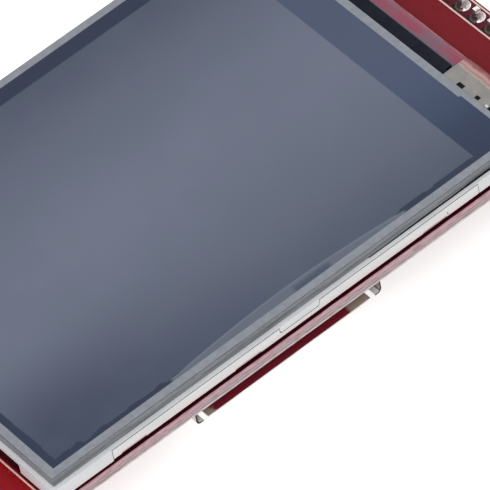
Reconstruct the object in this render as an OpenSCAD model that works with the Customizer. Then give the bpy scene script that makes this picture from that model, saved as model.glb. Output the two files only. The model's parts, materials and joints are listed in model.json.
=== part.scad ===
// Colour display module: a backlit display panel under a resistive touch screen, on a red
// circuit board that carries a pin header and a memory card socket behind it.
// Millimetres. The origin is the centre of the board's front face, between its mounting holes.
// +X points to the pin header and the flexes, +Z out of the screen.

/* [Circuit board] */
// Thickness of the circuit board
board_t = 1.6; // [1:0.1:2.4]
// Bare board beyond the display, at the end away from the pin header
near_margin = 7.35; // [6:0.05:15]
// Bare board beyond the display, at the pin header's end
far_margin = 9.45; // [8.5:0.05:20]
// Bare board beyond the display, on each long side
side_margin = 0; // [0:0.5:5]
// Diameter of the mounting holes
mount_hole_d = 3.2; // [2:0.1:4]
// Mounting hole centres to the board's edges
hole_inset = 3; // [2.6:0.1:4]
// Depth of the score on each face, along which the long sides were snapped off
score_depth = 0.5; // [0.2:0.05:0.6]
// Angle of the score's V, in degrees
score_angle = 30; // [20:1:60]

/* [Pin header] */
// Number of pins in the header
pin_count = 14; // [4:1:15]
// Distance between pins
pin_pitch = 2.54; // [2.3:0.01:2.6]
// Side of the square pins
pin_w = 0.64; // [0.4:0.02:0.7]
// Length of the pins below the plastic strip
pin_reach = 6; // [3:0.5:12]
// Length of the pins above the board's front face
pin_stub = 1.4; // [0.4:0.1:2]
// Side of the plastic strip's square section
strip_w = 2.5; // [2:0.05:2.54]
// Pin row to the board's end
header_inset = 1.5; // [1.4:0.1:3]
// Middle of the pin row from the board's centre line
header_shift = -0.7; // [-2:0.1:2]
// Diameter of the plated holes
pin_hole_d = 1; // [0.95:0.01:1.1]
// Diameter of a solder joint on the board
joint_d = 1.8; // [1.3:0.1:2.2]
// Height of a solder joint
joint_h = 1.1; // [0.3:0.1:1.2]
// Number of empty plated holes at the other end, for a second header
spare_count = 4; // [2:1:8]

/* [Panel frame and tray] */
// Length of the panel frame
frame_l = 69.2; // [60:0.1:90]
// Width of the panel frame
frame_w = 50; // [47:0.1:70]
// Thickness of the foam mounting tape
foam_t = 0.65; // [0.5:0.05:1.5]
// Width of each foam strip
foam_w = 5; // [2:0.5:6]
// Foam strip to the frame's side
foam_inset = 1.8; // [0.5:0.1:2]
// Thickness of the tray's floor
tray_floor_t = 0.2; // [0.1:0.05:0.3]
// Thickness of the tray's side walls
tray_wall_t = 0.25; // [0.15:0.05:0.4]
// Radius of the bend from the tray's floor to its walls
tray_bend_r = 0.3; // [0.3:0.05:0.5]
// Thickness of the frame's lip over the tray's walls
lip_t = 0.08; // [0.05:0.01:0.2]
// Gap between the lip and the tray's walls
seam_gap = 0.12; // [0.04:0.01:0.15]
// Gap between the moulded corners and the ends of the tray's walls
corner_gap = 0.1; // [0.04:0.01:0.15]
// Gap round the snap lugs
lug_gap = 0.1; // [0.04:0.01:0.15]
// Length of the moulded corners at the near end
near_corner_l = 8.15; // [4:0.05:10]
// Length of the moulded corners at the flex end
far_corner_l = 9.45; // [6:0.05:14]
// Width of the moulded corners across the near end
corner_w = 6; // [3:0.1:8]
// Depth of the recess under the lip of the near end
end_recess = 1.1; // [0.5:0.1:1.2]
// Height of the lip over that recess
end_lip_t = 0.5; // [0.3:0.05:0.7]
// Middle of the snap lugs from the near end
lug_pos = 34.3; // [25:0.1:40]
// Length of the snap lugs
lug_l = 5.5; // [3:0.1:8]
// Height of the snap lugs below the rim
lug_h = 0.9; // [0.5:0.05:1]
// Middle of the pressed tongues from the near end
tongue_pos = 53.5; // [45:0.1:56]
// Length of the pressed tongues
tongue_l = 3.5; // [2:0.1:5]
// Height of the pressed tongues
tongue_h = 0.65; // [0.4:0.05:0.8]
// Width of the slit round each tongue
slit_w = 0.14; // [0.06:0.02:0.2]
// Middles of the relief notches in the tray's walls, from the near end
notch_pos = [10.9, 26.9];
// Length of the relief notches
notch_l = 3.5; // [2:0.1:5]
// Height of the relief notches
notch_h = 0.25; // [0.1:0.05:0.35]

/* [Backlight] */
// Thickness of the reflector sheet
reflector_t = 0.08; // [0.05:0.01:0.15]
// Thickness of the light guide
guide_t = 0.5; // [0.45:0.05:0.8]
// Thickness of the diffuser sheet
diffuser_t = 0.07; // [0.04:0.01:0.12]
// Thickness of each prism sheet
prism_t = 0.06; // [0.04:0.01:0.12]
// Frame wall beside the sheets
film_wall = 2.3; // [2:0.05:3]
// Frame wall before the sheets at the near end
film_near_wall = 2.6; // [2.2:0.05:3.5]
// End of the sheets to the frame's flex end
film_far_gap = 6.8; // [6:0.1:8]
// Number of side-lit lamps
led_count = 4; // [2:1:8]
// Length of each lamp along the light guide's end
led_l = 3.8; // [2:0.1:4]
// Depth of each lamp
led_d = 1.2; // [0.6:0.1:1.6]
// Height of each lamp
led_h = 0.45; // [0.3:0.05:0.5]
// Length of the lamps' flex strip, across the panel
led_strip_l = 39; // [36:1:42]
// Width of the lamps' flex strip
led_strip_w = 3.4; // [2.5:0.1:3.6]
// Thickness of the lamps' flex strip
led_strip_t = 0.1; // [0.06:0.02:0.14]

/* [Display cell] */
// Thickness of each polariser
polariser_t = 0.1; // [0.06:0.02:0.2]
// Thickness of each sheet of the cell's glass
cell_glass_t = 0.25; // [0.2:0.05:0.5]
// Frame wall beside the cell
cell_wall = 1.5; // [1.2:0.05:1.9]
// Frame wall before the cell at the near end
cell_near_wall = 1.75; // [1.4:0.05:2]
// Frame wall behind the cell at the flex end
cell_far_wall = 1.9; // [1.5:0.05:2.2]
// Width of the array glass's bare ledge
glass_ledge = 4.4; // [3.5:0.1:5]
// Polarisers' edges inside the cell's edges
polariser_inset = 0.6; // [0.3:0.1:1]
// Top of the cell below the frame's rim
cell_recess = 0.13; // [0.05:0.01:0.4]
// Length of the driver chip
chip_l = 16; // [8:0.5:20]
// Width of the driver chip
chip_w = 1.2; // [0.8:0.1:1.5]
// Thickness of the driver chip
chip_t = 0.25; // [0.15:0.01:0.28]

/* [Display flex] */
// Width of the display flex
flex_w = 34; // [20:1:36]
// Thickness of the display flex
flex_t = 0.12; // [0.08:0.01:0.16]
// Length of the flex that is bonded on the glass
flex_bond = 1.3; // [0.8:0.1:1.6]
// Straight reach of the flex past the frame before it bends down
flex_reach = 1.4; // [0.5:0.1:2]
// Length of the flex's return under the panel
flex_return = 14; // [8:0.5:30]
// Width of the black tape over the flex, across the panel
cover_w = 27.6; // [15:0.1:30]
// Length of the black tape over the flex
cover_l = 3.5; // [2.5:0.1:3.6]
// Side of the square cut out of the tape's outer corner beside the tail
cover_nick = 0.9; // [0.3:0.1:2]

/* [Touch panel] */
// Thickness of the tape that bonds the touch panel to the frame
bond_t = 0.1; // [0.05:0.01:0.3]
// Thickness of the touch panel's glass
touch_glass_t = 1; // [0.7:0.05:2]
// Thickness of the spacer ring between glass and film
spacer_t = 0.11; // [0.1:0.01:0.2]
// Thickness of the touch panel's top film
touch_film_t = 0.2; // [0.1:0.02:0.3]
// Frame's rim beyond the touch panel at the sides and the near end
touch_inset = 0.5; // [0.2:0.05:1]
// Frame's rim beyond the touch panel at the flex end
touch_far_inset = 2.3; // [1.5:0.05:3]
// Bonding tape's edge inside the touch panel's edge
bond_inset = 0.15; // [0.1:0.05:0.4]
// Window in the bonding tape to the frame's sides
window_side = 2.8; // [2.4:0.05:4]
// Window in the bonding tape to the frame's near end
window_near = 3.1; // [2.6:0.05:4]
// Window in the bonding tape to the frame's flex end
window_far = 7.7; // [7:0.05:9]
// Width of the spacer ring
spacer_w = 1; // [0.5:0.05:1.5]
// Width of the touch panel's tail
tail_w = 10; // [6:0.1:12]
// Thickness of the touch panel's tail
tail_t = 0.1; // [0.06:0.01:0.1]
// Tail to the frame's side
tail_inset = 4; // [3:0.1:6]
// Slope of the tail down to the display flex, in degrees
tail_slope = 60; // [50:1:70]
// Radius of the tail's upper bend
tail_bend_r = 0.6; // [0.4:0.05:0.8]

/* [Card socket] */
// Width of the card socket
socket_w = 26.25; // [26:0.05:30]
// Depth of the card socket
socket_d = 28; // [24:0.5:32]
// Height of the card socket
socket_h = 2.8; // [2.6:0.1:3.4]
// Thickness of the socket's shell
shell_t = 0.2; // [0.15:0.05:0.3]
// Socket's middle from the board's middle, along X
socket_shift = -3; // [-8:0.1:5]
// Socket's mouth to the board's edge
socket_setback = 1; // [0:0.1:3]
// Width of the card
card_w = 24; // [20:0.1:24.5]
// Clearance on each side of the card
card_gap = 0.15; // [0.1:0.05:0.25]
// Number of card contacts
contact_count = 9; // [6:1:9]
// Distance between card contacts
contact_pitch = 2.5; // [1.7:0.1:2.5]
// Width of a card contact
contact_w = 0.8; // [0.5:0.05:0.9]

/* [Small parts] */
// Length of the touch controller chip
ic_l = 5; // [4:0.1:7]
// Width of the touch controller chip
ic_w = 4.4; // [3.5:0.1:5.5]
// Number of leads on each side of the chip
ic_leads = 8; // [4:1:8]
// Distance between the chip's leads
ic_pitch = 0.65; // [0.5:0.05:0.65]
// Length of the three-lead packages
sot_l = 2.9; // [2.4:0.1:3.2]
// Width of the three-lead packages
sot_w = 1.4; // [1.2:0.1:1.8]
// Length of the chip resistors and capacitors
smd_l = 1.6; // [1:0.1:2]
// Width of the chip resistors and capacitors
smd_w = 0.8; // [0.5:0.05:1.2]

/* [Hidden] */
$fn = 48;

// Overall sizes
board_l = near_margin + frame_l + far_margin;
board_w = frame_w + 2 * side_margin;
panel_x = -board_l / 2 + near_margin;
panel_end = panel_x + frame_l;
header_x = board_l / 2 - header_inset;

// Named fits, and how far a cutter runs past what it cuts
cut = 1;
fit = 0.05;
cell_fit = 0.1;
pin_fit = 0.02;
tail_fit = 0.02;

// Levels of the stack, from the board's front face up
film_z = foam_t + tray_floor_t;
guide_z = film_z + reflector_t;
diffuser_z = guide_z + guide_t;
lower_prism_z = diffuser_z + diffuser_t;
upper_prism_z = lower_prism_z + prism_t;
rear_polariser_z = upper_prism_z + prism_t;
array_z = rear_polariser_z + polariser_t;
filter_z = array_z + cell_glass_t;
front_polariser_z = filter_z + cell_glass_t;
rim_z = front_polariser_z + polariser_t + cell_recess;
touch_z = rim_z + bond_t;
spacer_z = touch_z + touch_glass_t;
touch_film_z = spacer_z + spacer_t;

// Ends of the panel's layers along X, and their widths across
film_x0 = panel_x + film_near_wall;
film_x1 = panel_end - film_far_gap;
film_w = frame_w - 2 * film_wall;
cell_x0 = panel_x + cell_near_wall;
cell_x1 = panel_end - cell_far_wall;
cell_w = frame_w - 2 * cell_wall;
filter_x1 = cell_x1 - glass_ledge;
touch_x0 = panel_x + touch_inset;
touch_x1 = panel_end - touch_far_inset;
touch_w = frame_w - 2 * touch_inset;
shoulder = 0.35;
lug_corner_r = 0.3;
seam_z = rim_z - lip_t - seam_gap;
tray_x0 = panel_x + near_corner_l;
tray_x1 = panel_end - far_corner_l;

// Lamp strip, driver chip and flexes
led_x = film_x1 + fit;
led_pocket_l = led_strip_w + 3 * fit;
chip_gap = 0.5;
flex_z = filter_z;
flex_pass = 0.2;
flex_bend_x = panel_end + flex_reach;
flex_bend_r = (flex_z - flex_t) / 2;
tail_z = spacer_z;
tail_shift = -frame_w / 2 + tail_inset + tail_w / 2;
hug_r = flex_bend_r + flex_t + tail_fit;
tail_foot = 20;
arc_steps = 12;

// Card socket
rail_w = (socket_w - card_w) / 2 - card_gap - shell_t - fit;
shell_r = 0.6;
shell_end = 4;
shell_d = socket_d - shell_end;
socket_floor = 0.45;
socket_block = 6;
contact_t = 0.15;
contact_run = 6;
contact_foot = 1.2;
mouth_slot_w = 0.65;
mouth_slot_d = 2.2;
mouth_ear_w = 0.95;

// Small parts on the back: places, heights above the board and leads
ic_pos = [30.5, 6];
ic_h = 1;
ic_lift = 0.1;
lead_w = 0.22;
lead_t = 0.12;
lead_out = 1;
sot_h = 1;
sot_lead_w = 0.4;
sot_lead_out = 0.6;
sot_pitch = 0.95;
regulator_pos = [30, -12];
transistor_pos = [24, -12];
smd_h = 0.45;
end_l = 0.3;
resistor_pos = [[21, -7], [21, -5], [21, -3], [21, -1], [34.5, -7.5], [34.5, -5.5]];
capacitor_pos = [[25.5, -7.5], [29, -7.5], [26, 1.5], [35, 1.5], [22.5, 9]];

// --- helpers ---------------------------------------------------------------------------

// Flat slab from x0 to x1, centred across the board
module slab(x0, x1, w, z, t) {
    translate([x0, -w / 2, z]) cube([x1 - x0, w, t]);
}

// Extrude an outline drawn in X and Z along Y
module along_y(y0, y1) {
    translate([0, y1, 0]) rotate([90, 0, 0]) linear_extrude(y1 - y0) children();
}

// Extrude an outline drawn in Y and Z along X
module along_x(x0, x1) {
    translate([x0, 0, 0]) rotate([90, 0, 90]) linear_extrude(x1 - x0) children();
}

// Copy on both long sides
module both_sides() {
    children();
    mirror([0, 1, 0]) children();
}

// Put children on the board's back face, with their own +Z away from the board
module on_back() {
    translate([0, 0, -board_t]) mirror([0, 0, 1]) children();
}

// Rectangle on the X axis with two rounded upper corners
module arch(w, h, r) {
    translate([-w / 2, 0]) square([w, h - r]);
    translate([-w / 2 + r, 0]) square([w - 2 * r, h]);
    for (s = [-1, 1]) translate([s * (w / 2 - r), h - r]) circle(r);
}

// Points of an arc round centre c, from angle a0 to a1
function arc(c, r, a0, a1) = [for (k = [0 : arc_steps])
    let (a = a0 + (a1 - a0) * k / arc_steps) c + r * [cos(a), sin(a)]];

// Strip bent round the Y axis: inner radius r, from angle a0 to a1, measured from +X to +Z
module bend(r, t, w, a0, a1) {
    rotate([90, 0, 0]) rotate([0, 0, a0]) rotate_extrude(angle = a1 - a0)
        translate([r, -w / 2]) square([t, w]);
}

// --- circuit board and header ----------------------------------------------------------

function pin_y(i) = header_shift + (i - (pin_count - 1) / 2) * pin_pitch;
function spare_y(i) = (i - (spare_count - 1) / 2) * pin_pitch;

// Section across the board: its long sides keep half of a V score on each face
module board_section() {
    bevel = score_depth * tan(score_angle / 2);
    polygon([
        [-board_w / 2 + bevel, 0], [board_w / 2 - bevel, 0],
        [board_w / 2, -score_depth], [board_w / 2, score_depth - board_t],
        [board_w / 2 - bevel, -board_t], [-board_w / 2 + bevel, -board_t],
        [-board_w / 2, score_depth - board_t], [-board_w / 2, -score_depth]
    ]);
}

module circuit_board() {
    color("firebrick") difference() {
        along_x(-board_l / 2, board_l / 2) board_section();
        for (x = [-1, 1], y = [-1, 1])
            translate([x * (board_l / 2 - hole_inset), y * (board_w / 2 - hole_inset), -board_t - cut])
                cylinder(d = mount_hole_d, h = board_t + 2 * cut);
        for (i = [0 : pin_count - 1])
            translate([header_x, pin_y(i), -board_t - cut])
                cylinder(d = pin_hole_d, h = board_t + 2 * cut);
        for (i = [0 : spare_count - 1])
            translate([-header_x, spare_y(i), -board_t - cut])
                cylinder(d = pin_hole_d, h = board_t + 2 * cut);
    }
}

module mounting_tape() {
    color("dimgray") both_sides()
        translate([panel_x + near_corner_l, -frame_w / 2 + foam_inset, 0])
            cube([frame_l - near_corner_l - far_corner_l, foam_w, foam_t]);
}

// The strip is moulded in one piece, with a waist between each two pins
module header_strip() {
    waist = 0.35;
    color("black") on_back() difference() {
        for (i = [0 : pin_count - 1]) translate([header_x, pin_y(i), 0]) {
            translate([-strip_w / 2, -pin_pitch / 2 + waist, 0])
                cube([strip_w, pin_pitch - 2 * waist, strip_w]);
            translate([-strip_w / 2 + waist, -pin_pitch / 2, 0])
                cube([strip_w - 2 * waist, pin_pitch, strip_w]);
        }
        for (i = [0 : pin_count - 1]) translate([header_x, pin_y(i), strip_w / 2])
            cube([pin_w, pin_w, strip_w + 2 * cut], center = true);
    }
}

module header_pins() {
    tip = 0.3;
    color("goldenrod") for (i = [0 : pin_count - 1]) translate([header_x, pin_y(i), 0]) {
        below = board_t + strip_w + pin_reach;
        translate([-pin_w / 2, -pin_w / 2, -below + tip]) cube([pin_w, pin_w, below - tip + pin_stub]);
        translate([0, 0, -below]) rotate([0, 0, 45])
            cylinder(d1 = pin_w * sqrt(2) / 2, d2 = pin_w * sqrt(2), h = tip, $fn = 4);
    }
}

// A concave fillet of solder round each pin, with the solder that fills the plated hole
module header_solder() {
    steps = 8;
    throat = pin_w * 0.72;
    flank = [for (k = [0 : steps]) let (a = 90 * k / steps)
        [throat + (joint_d / 2 - throat) * (1 - sin(a)), joint_h * (1 - cos(a))]];
    color("silver") for (i = [0 : pin_count - 1]) translate([header_x, pin_y(i), 0]) difference() {
        union() {
            rotate_extrude() polygon(concat([[0, 0]], flank, [[0, joint_h]]));
            translate([0, 0, -board_t]) cylinder(d = pin_hole_d - 2 * pin_fit, h = board_t + joint_h / 2);
        }
        translate([0, 0, -board_t / 2]) cube([pin_w, pin_w, 3 * board_t + 2 * joint_h + cut], center = true);
    }
}

// --- frame and tray --------------------------------------------------------------------

// Snap lug in X and Z: square at the rim, with two rounded lower corners, grown by a margin
module lug_outline(margin) {
    r = lug_corner_r + margin;
    translate([panel_x + lug_pos, rim_z - lug_h - margin]) {
        translate([-lug_l / 2 - margin, r]) square([lug_l + 2 * margin, lug_h - lug_corner_r]);
        translate([-lug_l / 2 + lug_corner_r, 0]) square([lug_l - 2 * lug_corner_r, lug_h]);
        for (s = [-1, 1]) translate([s * (lug_l / 2 - lug_corner_r), r]) circle(r);
    }
}

// Side wall of the tray, in X and Z: open above the snap lug, with the slit of the pressed
// tongue and the relief notches along the bend
module tray_wall_outline() {
    tongue_x = panel_x + tongue_pos;
    tongue_z = foam_t + notch_h / 2;
    difference() {
        translate([tray_x0, foam_t]) square([tray_x1 - tray_x0, seam_z - foam_t]);
        lug_outline(lug_gap);
        translate([tongue_x - tongue_l / 2, tongue_z]) square([tongue_l, slit_w]);
        translate([tongue_x + tongue_l / 2, tongue_z]) square([slit_w, tongue_h]);
        for (p = notch_pos) translate([panel_x + p - notch_l / 2, foam_t - cut])
            square([notch_l, notch_h + cut]);
    }
}

module rear_tray() {
    floor_w = frame_w - 2 * tray_bend_r;
    color("gainsboro") {
        difference() {
            union() {
                slab(tray_x0, tray_x1, floor_w, foam_t, tray_floor_t);
                slab(panel_x + end_recess + fit, tray_x0, frame_w - 2 * (corner_w + fit), foam_t,
                     tray_floor_t);
                slab(tray_x1, panel_end - fit, floor_w, foam_t, tray_floor_t);
                both_sides() along_y(-frame_w / 2, -frame_w / 2 + tray_wall_t) tray_wall_outline();
                both_sides() difference() {
                    along_x(tray_x0, tray_x1) translate([-frame_w / 2 + tray_bend_r, foam_t + tray_bend_r])
                        difference() {
                            circle(tray_bend_r);
                            circle(max(tray_bend_r - tray_floor_t, fit));
                            translate([-2 * tray_bend_r, 0]) square(4 * tray_bend_r);
                            translate([0, -2 * tray_bend_r]) square(4 * tray_bend_r);
                        }
                    for (p = notch_pos)
                        translate([panel_x + p - notch_l / 2, -frame_w / 2 - cut, foam_t - cut])
                            cube([notch_l, cut + tray_bend_r, notch_h + cut]);
                }
            }
            both_sides() along_x(tray_x0 - cut, tray_x1 + cut) difference() {
                translate([-frame_w / 2 - cut, foam_t - cut]) square(cut + tray_bend_r);
                translate([-frame_w / 2 + tray_bend_r, foam_t + tray_bend_r]) circle(tray_bend_r);
            }
        }
    }
}

// Pockets for the sheets, the lamp strip, the cell and the flex
module frame_pockets() {
    slab(film_x0 - fit, film_x1 + fit, film_w + 2 * fit, 0, rear_polariser_z);
    slab(film_x1, led_x + led_pocket_l, led_strip_l + 2 * fit, 0, rear_polariser_z);
    slab(film_x0 + shoulder, film_x1 - shoulder, film_w - 2 * shoulder, 0, rim_z + cut);
    slab(cell_x0 - cell_fit, cell_x1 + cell_fit, cell_w + 2 * cell_fit, array_z, rim_z);
    slab(cell_x1, panel_end + cut, flex_w + 2 * flex_pass, flex_z, rim_z);
}

module moulded_frame() {
    body_w = frame_w - 2 * (tray_wall_t + fit);
    color("white") difference() {
        union() {
            slab(panel_x, panel_end, body_w, film_z, rim_z - film_z);
            slab(panel_x, panel_end, frame_w, rim_z - lip_t, lip_t);
            both_sides() {
                translate([panel_x, -frame_w / 2, foam_t])
                    cube([near_corner_l - corner_gap, corner_w, rim_z - foam_t]);
                translate([tray_x1 + corner_gap, -frame_w / 2, film_z])
                    cube([far_corner_l - corner_gap, corner_w, rim_z - film_z]);
                along_y(-frame_w / 2, -frame_w / 2 + cell_wall - cell_fit) lug_outline(0);
            }
        }
        frame_pockets();
        slab(panel_x - cut, panel_x + end_recess, frame_w - 2 * corner_w, 0, rim_z - end_lip_t);
        slab(panel_x + end_recess, tray_x0, frame_w - 2 * corner_w, 0, film_z);
    }
}

// --- backlight -------------------------------------------------------------------------

module backlight_sheet(z, t) {
    slab(film_x0, film_x1, film_w, z, t);
}

module reflector_sheet() {
    color("whitesmoke") backlight_sheet(film_z, reflector_t);
}

module light_guide() {
    color("lightcyan") backlight_sheet(guide_z, guide_t);
}

module diffuser_sheet() {
    color("ghostwhite") backlight_sheet(diffuser_z, diffuser_t);
}

module lower_prism_sheet() {
    color("aliceblue") backlight_sheet(lower_prism_z, prism_t);
}

module upper_prism_sheet() {
    color("azure") backlight_sheet(upper_prism_z, prism_t);
}

module lamp_strip() {
    color("darkgoldenrod") slab(led_x + fit, led_x + fit + led_strip_w, led_strip_l, film_z, led_strip_t);
}

module lamps() {
    spread = led_strip_l / led_count;
    color("lightyellow") for (i = [0 : led_count - 1])
        translate([led_x + 2 * fit, (i - (led_count - 1) / 2) * spread - led_l / 2, film_z + led_strip_t])
            cube([led_d, led_l, led_h]);
}

// --- display cell ----------------------------------------------------------------------

module rear_polariser() {
    color("slategray")
        slab(film_x0 + shoulder + fit, film_x1 - shoulder - fit, film_w - 2 * (shoulder + fit),
             rear_polariser_z, polariser_t);
}

module array_glass() {
    color("lightsteelblue") slab(cell_x0, cell_x1, cell_w, array_z, cell_glass_t);
}

module filter_glass() {
    color("darkslategray") slab(cell_x0, filter_x1, cell_w, filter_z, cell_glass_t);
}

module front_polariser() {
    color("dimgray")
        slab(cell_x0 + polariser_inset, filter_x1 - polariser_inset, cell_w - 2 * polariser_inset,
             front_polariser_z, polariser_t);
}

module driver_chip() {
    color("darkgray") slab(filter_x1 + chip_gap, filter_x1 + chip_gap + chip_w, chip_l, filter_z, chip_t);
}

// The flex is bonded on the glass ledge, runs over the frame, bends down in a half circle and
// comes back flat on the board
module display_flex() {
    color("rosybrown") {
        slab(cell_x1 - flex_bond, flex_bend_x, flex_w, flex_z, flex_t);
        translate([flex_bend_x, 0, flex_t + flex_bend_r]) bend(flex_bend_r, flex_t, flex_w, -90, 90);
        slab(flex_bend_x - flex_return, flex_bend_x, flex_w, 0, flex_t);
    }
}

module flex_cover_tape() {
    cover_z = flex_z + flex_t;
    cover_y = flex_w / 2 - cover_w;
    color("black") difference() {
        translate([panel_end - cover_l, cover_y, cover_z]) cube([cover_l, cover_w, rim_z - cover_z]);
        translate([panel_end - cover_nick, cover_y - cut, cover_z - cut])
            cube([cover_nick + cut, cover_nick + cut, rim_z - cover_z + 2 * cut]);
    }
}

// --- touch panel -----------------------------------------------------------------------

module bonding_tape() {
    color("black") difference() {
        slab(touch_x0 + bond_inset, touch_x1 - bond_inset, touch_w - 2 * bond_inset, rim_z, bond_t);
        slab(panel_x + window_near, panel_end - window_far, frame_w - 2 * window_side,
             rim_z - cut, bond_t + 2 * cut);
    }
}

module touch_glass() {
    color("lightgray") slab(touch_x0, touch_x1, touch_w, touch_z, touch_glass_t);
}

module touch_spacer() {
    color("silver") difference() {
        slab(touch_x0, touch_x1, touch_w, spacer_z, spacer_t);
        slab(touch_x0 + spacer_w, touch_x1 - spacer_w, touch_w - 2 * spacer_w,
             spacer_z - cut, spacer_t + 2 * cut);
        translate([touch_x1 - spacer_w - cut, tail_shift - tail_w / 2 - fit, spacer_z - cut])
            cube([spacer_w + 2 * cut, tail_w + 2 * fit, spacer_t + 2 * cut]);
    }
}

module touch_film() {
    color("gray") slab(touch_x0, touch_x1, touch_w, touch_film_z, touch_film_t);
}

// The tail leaves between glass and film, slopes down and lies on the display flex's bend: one
// outline in X and Z, with an arc round that bend and one round its own upper bend
module touch_tail() {
    touch_a = 90 - tail_slope;
    flex_centre = [flex_bend_x, flex_t + flex_bend_r];
    upper_z = tail_z - tail_bend_r;
    rise = upper_z - flex_centre.y;
    upper_x = flex_bend_x + (hug_r - tail_bend_r - rise * sin(touch_a)) / cos(touch_a);
    upper_centre = [upper_x, upper_z];
    root_x = touch_x1 - spacer_w;
    color("darkgray") translate([0, tail_shift, 0]) along_y(-tail_w / 2, tail_w / 2) polygon(concat(
        [[root_x, tail_z + tail_t]],
        arc(upper_centre, tail_bend_r + tail_t, 90, touch_a),
        arc(flex_centre, hug_r + tail_t, touch_a, -tail_foot),
        arc(flex_centre, hug_r, -tail_foot, touch_a),
        arc(upper_centre, tail_bend_r, touch_a, 90),
        [[root_x, tail_z]]));
}

// --- card socket -----------------------------------------------------------------------

// Place children in the socket's own frame: mouth at y = 0, card going in along +Y
module at_socket() {
    on_back() translate([socket_shift, -board_w / 2 + socket_setback, 0]) children();
}

// Folded shell: rounded side walls, slots that free a curled ear on each side of the mouth,
// two pressed card springs and four solder feet
module socket_shell() {
    spring_l = 7;
    spring_w = 1.6;
    spring_slit = 0.4;
    rear_step_w = 3;
    rear_step_d = 1.5;
    foot_w = 1.1;
    foot_l = 2;
    color("lightgray") at_socket() {
        difference() {
            along_y(0, shell_d) difference() {
                arch(socket_w, socket_h, shell_r);
                translate([0, -cut])
                    arch(socket_w - 2 * shell_t, socket_h - shell_t + cut, shell_r - shell_t);
            }
            for (s = [-1, 1]) {
                translate([s * (socket_w / 2 - mouth_ear_w) - s * mouth_slot_w / 2, (mouth_slot_d - cut) / 2,
                           socket_h])
                    cube([mouth_slot_w, mouth_slot_d + cut, 2 * shell_t + fit], center = true);
                translate([s * card_w / 3.2, shell_d / 2, socket_h]) difference() {
                    cube([spring_w + 2 * spring_slit, spring_l, 3 * shell_t], center = true);
                    translate([0, spring_slit, 0]) cube([spring_w, spring_l, 4 * shell_t], center = true);
                }
            }
            translate([0, shell_d, socket_h])
                cube([card_w - 2 * rear_step_w, 2 * rear_step_d, 3 * shell_t], center = true);
        }
        for (s = [-1, 1], y = [foot_l, shell_d - foot_l])
            translate([s * (socket_w / 2 + foot_w / 2 - shell_t / 2), y, shell_t / 2])
                cube([foot_w + shell_t, foot_l, shell_t], center = true);
    }
}

// Moulded base: two card rails, a slotted floor and the block that holds the contacts
module socket_base() {
    rail_setback = 1;
    floor_margin = 2;
    inner_w = socket_w - 2 * (shell_t + fit);
    roof_h = socket_h - shell_t;
    floor_y = socket_d - socket_block - contact_run - floor_margin;
    slot_y = floor_y + floor_margin / 2;
    color("tan") at_socket() difference() {
        union() {
            for (s = [-1, 1])
                translate([s * (inner_w - rail_w) / 2, (rail_setback + socket_d) / 2, (roof_h - shell_r) / 2])
                    cube([rail_w, socket_d - rail_setback, roof_h - shell_r], center = true);
            translate([-inner_w / 2, floor_y, 0]) cube([inner_w, socket_d - floor_y, socket_floor]);
            translate([-inner_w / 2, socket_d - socket_block, 0])
                cube([inner_w, socket_block, roof_h - shell_r]);
            translate([-inner_w / 2 + shell_r, socket_d - socket_block, 0])
                cube([inner_w - 2 * shell_r, socket_block, roof_h]);
        }
        for (i = [0 : contact_count - 1]) translate([contact_x(i), 0, 0]) {
            translate([-contact_w / 2 - fit, slot_y, -cut])
                cube([contact_w + 2 * fit, socket_d, cut + contact_t + fit]);
            translate([-contact_w / 2 - fit, slot_y, -cut])
                cube([contact_w + 2 * fit, socket_d - socket_block - slot_y, socket_floor + 2 * cut]);
        }
    }
}

function contact_x(i) = (i - (contact_count - 1) / 2) * contact_pitch;

// Each contact lies on the board, runs under the block and springs up to meet the card
module socket_contacts() {
    root = socket_d - socket_block;
    rise = 0.9;
    arm = contact_run - 1.2;
    outline = [
        [socket_d + contact_foot, 0], [root, 0], [root - arm, rise], [root - contact_run, rise - 0.35],
        [root - contact_run, rise - 0.35 + contact_t], [root - arm, rise + contact_t],
        [root, contact_t], [socket_d + contact_foot, contact_t]
    ];
    color("goldenrod") at_socket() for (i = [0 : contact_count - 1])
        along_x(contact_x(i) - contact_w / 2, contact_x(i) + contact_w / 2) polygon(outline);
}

// --- small parts on the back -----------------------------------------------------------

// One bent lead, in the plane away from the body: foot on the board, shoulder in the body's side
function lead_outline(out, rise) = [
    [out, 0], [out, lead_t], [out * 0.55 + lead_t, lead_t], [out * 0.35 + lead_t, rise + lead_t],
    [0, rise + lead_t], [0, rise], [out * 0.35, rise], [out * 0.55, 0]
];

// Side view of a moulded package: upright to its leads, then drawn in to the top
module package_outline(l, h) {
    draft = 0.12;
    upright = h / 2 + lead_t;
    polygon([[-l / 2, ic_lift], [l / 2, ic_lift], [l / 2, upright],
             [l / 2 - draft, h], [-l / 2 + draft, h], [-l / 2, upright]]);
}

module package(l, w, h) {
    intersection() {
        along_y(-w / 2, w / 2) package_outline(l, h);
        along_x(-l / 2, l / 2) package_outline(w, h);
    }
}

module controller_body() {
    color("dimgray") on_back() translate(ic_pos) package(ic_l, ic_w, ic_h);
}

module controller_leads() {
    color("silver") on_back() translate(ic_pos) for (s = [0, 180], i = [0 : ic_leads - 1])
        rotate([0, 0, s]) translate([(i - (ic_leads - 1) / 2) * ic_pitch, ic_w / 2, 0])
            along_x(-lead_w / 2, lead_w / 2) polygon(lead_outline(lead_out, ic_h / 2));
}

module regulator_body() {
    color("dimgray") on_back() translate(regulator_pos) package(sot_l, sot_w, sot_h);
}

module transistor_body() {
    color("dimgray") on_back() translate(transistor_pos) package(sot_l, sot_w, sot_h);
}

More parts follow.
